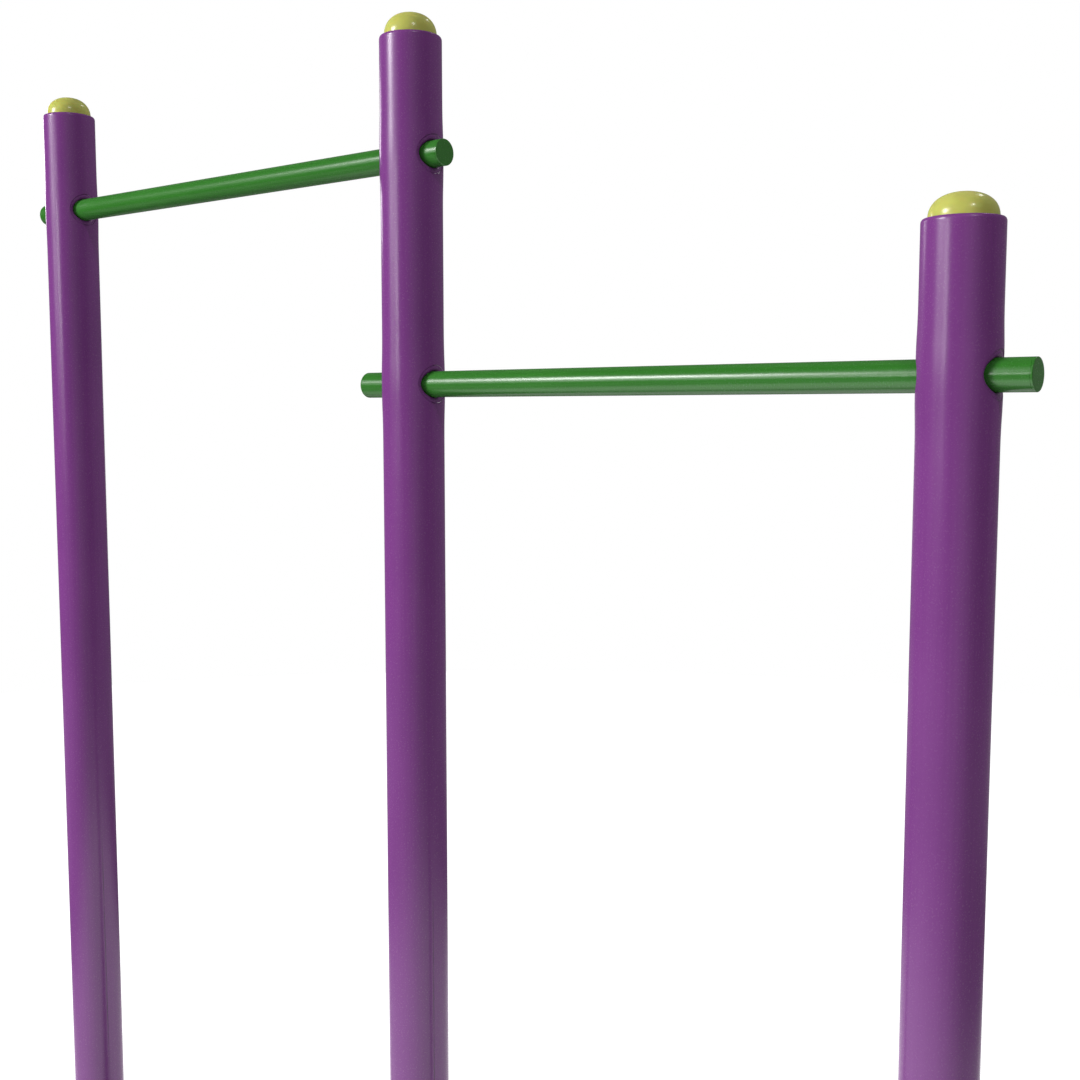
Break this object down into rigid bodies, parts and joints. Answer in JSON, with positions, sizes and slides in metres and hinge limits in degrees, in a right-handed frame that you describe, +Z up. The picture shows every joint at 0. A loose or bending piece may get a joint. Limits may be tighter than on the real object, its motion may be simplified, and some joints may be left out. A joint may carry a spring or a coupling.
{
  "type": "outdoor pull-up bar",
  "caption": "Free-standing pull-up frame: round steel posts in a row carry horizontal grip bars at two heights, with domed caps on the posts and bolted base plates.",
  "frame": {"origin": "on the ground, in the middle of the outline of the three base plates", "axes": "+X along the row of posts from the tall outer post to the short one, +Z up, +Y across the row; the bars lie along X"},
  "size_m": [2.149, 0.24, 2.6286],
  "materials": {
    "purple_paint": "gloss powder coat",
    "green_paint": "gloss powder coat",
    "yellow_plastic": "gloss",
    "zinc_steel": "zinc plated"
  },
  "bodies": {
    "root": {"high_bar": "green_paint", "high_bar_left_plug": "green_paint", "high_bar_left_post_weld_left": "purple_paint", "high_bar_left_post_weld_right": "purple_paint", "high_bar_right_plug": "green_paint", "high_bar_right_post_weld_left": "purple_paint", "high_bar_right_post_weld_right": "purple_paint", "left_anchor_stud_1": "zinc_steel", "left_anchor_stud_2": "zinc_steel", "left_anchor_stud_3": "zinc_steel", "left_anchor_stud_4": "zinc_steel", "left_base_plate": "purple_paint", "left_base_weld": "purple_paint", "left_cap_nut_1": "zinc_steel", "left_cap_nut_2": "zinc_steel", "left_cap_nut_3": "zinc_steel", "left_cap_nut_4": "zinc_steel", "left_post": "purple_paint", "left_post_cap": "yellow_plastic", "low_bar": "green_paint", "low_bar_left_plug": "green_paint", "low_bar_left_post_weld_left": "purple_paint", "low_bar_left_post_weld_right": "purple_paint", "low_bar_right_plug": "green_paint", "low_bar_right_post_weld_left": "purple_paint", "low_bar_right_post_weld_right": "purple_paint", "middle_anchor_stud_1": "zinc_steel", "middle_anchor_stud_2": "zinc_steel", "middle_anchor_stud_3": "zinc_steel", "middle_anchor_stud_4": "zinc_steel", "middle_base_plate": "purple_paint", "middle_base_weld": "purple_paint", "middle_cap_nut_1": "zinc_steel", "middle_cap_nut_2": "zinc_steel", "middle_cap_nut_3": "zinc_steel", "middle_cap_nut_4": "zinc_steel", "middle_post": "purple_paint", "middle_post_cap": "yellow_plastic", "right_anchor_stud_1": "zinc_steel", "right_anchor_stud_2": "zinc_steel", "right_anchor_stud_3": "zinc_steel", "right_anchor_stud_4": "zinc_steel", "right_base_plate": "purple_paint", "right_base_weld": "purple_paint", "right_cap_nut_1": "zinc_steel", "right_cap_nut_2": "zinc_steel", "right_cap_nut_3": "zinc_steel", "right_cap_nut_4": "zinc_steel", "right_post": "purple_paint", "right_post_cap": "yellow_plastic"}
  },
  "joints": []
}
